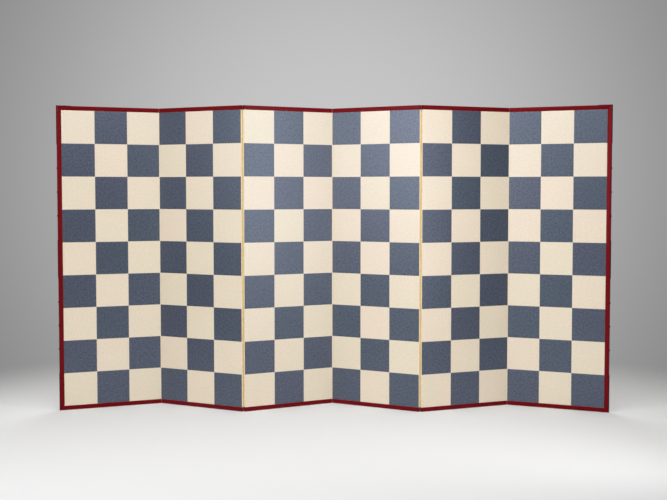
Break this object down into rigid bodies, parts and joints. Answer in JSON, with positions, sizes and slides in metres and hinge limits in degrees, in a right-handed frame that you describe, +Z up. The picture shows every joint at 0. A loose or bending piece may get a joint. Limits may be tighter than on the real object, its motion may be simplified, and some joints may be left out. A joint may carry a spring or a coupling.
{
  "type": "folding screen",
  "caption": "Free-standing byobu folding screen: hinged lattice-core panels papered in a cream and navy checker, with red lacquered rails and black metal edge fittings.",
  "frame": {"origin": "on the floor, under the middle of the screen's box as it stands in the picture", "axes": "+X along the screen to the viewer's right, +Y away from the viewer, +Z up; the checker faces -Y"},
  "size_m": [3.0446, 0.3032, 1.6889],
  "materials": {
    "core_wood": "planed cedar",
    "under_paper": "layered paper",
    "hinge_paper": "gold toned paper",
    "peg_bamboo": "split bamboo",
    "cream_paper": "matt handmade paper",
    "navy_paper": "dyed handmade paper",
    "back_paper": "plain paper",
    "red_lacquer": "gloss red lacquer",
    "black_metal": "black patina"
  },
  "bodies": {
    "panel_1": {"panel_1_core": "core_wood", "panel_1_under_paper": "under_paper", "panel_1_hinge_papers": "hinge_paper", "panel_1_frame_pegs": "peg_bamboo", "panel_1_cream_squares": "cream_paper", "panel_1_navy_squares": "navy_paper", "panel_1_back_paper": "back_paper", "panel_1_top_rail": "red_lacquer", "panel_1_bottom_rail": "red_lacquer", "left_stile": "red_lacquer", "left_fittings": "black_metal", "left_dome_nails": "black_metal"},
    "panel_2": {"panel_2_core": "core_wood", "panel_2_under_paper": "under_paper", "panel_2_hinge_papers": "hinge_paper", "panel_2_frame_pegs": "peg_bamboo", "panel_2_cream_squares": "cream_paper", "panel_2_navy_squares": "navy_paper", "panel_2_back_paper": "back_paper", "panel_2_top_rail": "red_lacquer", "panel_2_bottom_rail": "red_lacquer"},
    "panel_3": {"panel_3_core": "core_wood", "panel_3_under_paper": "under_paper", "panel_3_hinge_papers": "hinge_paper", "panel_3_frame_pegs": "peg_bamboo", "panel_3_cream_squares": "cream_paper", "panel_3_navy_squares": "navy_paper", "panel_3_back_paper": "back_paper", "panel_3_top_rail": "red_lacquer", "panel_3_bottom_rail": "red_lacquer"},
    "panel_4": {"panel_4_core": "core_wood", "panel_4_under_paper": "under_paper", "panel_4_hinge_papers": "hinge_paper", "panel_4_frame_pegs": "peg_bamboo", "panel_4_cream_squares": "cream_paper", "panel_4_navy_squares": "navy_paper", "panel_4_back_paper": "back_paper", "panel_4_top_rail": "red_lacquer", "panel_4_bottom_rail": "red_lacquer"},
    "panel_5": {"panel_5_core": "core_wood", "panel_5_under_paper": "under_paper", "panel_5_hinge_papers": "hinge_paper", "panel_5_frame_pegs": "peg_bamboo", "panel_5_cream_squares": "cream_paper", "panel_5_navy_squares": "navy_paper", "panel_5_back_paper": "back_paper", "panel_5_top_rail": "red_lacquer", "panel_5_bottom_rail": "red_lacquer"},
    "panel_6": {"panel_6_core": "core_wood", "panel_6_under_paper": "under_paper", "panel_6_hinge_papers": "hinge_paper", "panel_6_frame_pegs": "peg_bamboo", "panel_6_cream_squares": "cream_paper", "panel_6_navy_squares": "navy_paper", "panel_6_back_paper": "back_paper", "panel_6_top_rail": "red_lacquer", "panel_6_bottom_rail": "red_lacquer", "right_stile": "red_lacquer", "right_fittings": "black_metal", "right_dome_nails": "black_metal"}
  },
  "joints": [
    {"name": "fold_1_2", "type": "hinge", "parent": "panel_2", "child": "panel_1", "pos_m": [-0.98855, 0.12969, 0.843], "axis": [0, 0, 1], "range_deg": [-50.3, 129.7]},
    {"name": "fold_2_3", "type": "hinge", "parent": "panel_3", "child": "panel_2", "pos_m": [-0.49505, -0.10743, 0.843], "axis": [0, 0, -1], "range_deg": [-55.9, 124.1]},
    {"name": "fold_3_4", "type": "hinge", "parent": "panel_3", "child": "panel_4", "pos_m": [-0.00448, 0.1357, 0.843], "axis": [0, 0, -1], "range_deg": [-57.6, 122.4]},
    {"name": "fold_4_5", "type": "hinge", "parent": "panel_4", "child": "panel_5", "pos_m": [0.48177, -0.11596, 0.843], "axis": [0, 0, 1], "range_deg": [-52.1, 127.9]},
    {"name": "fold_5_6", "type": "hinge", "parent": "panel_5", "child": "panel_6", "pos_m": [0.99338, 0.07904, 0.843], "axis": [0, 0, -1], "range_deg": [-46.8, 133.2]}
  ]
}
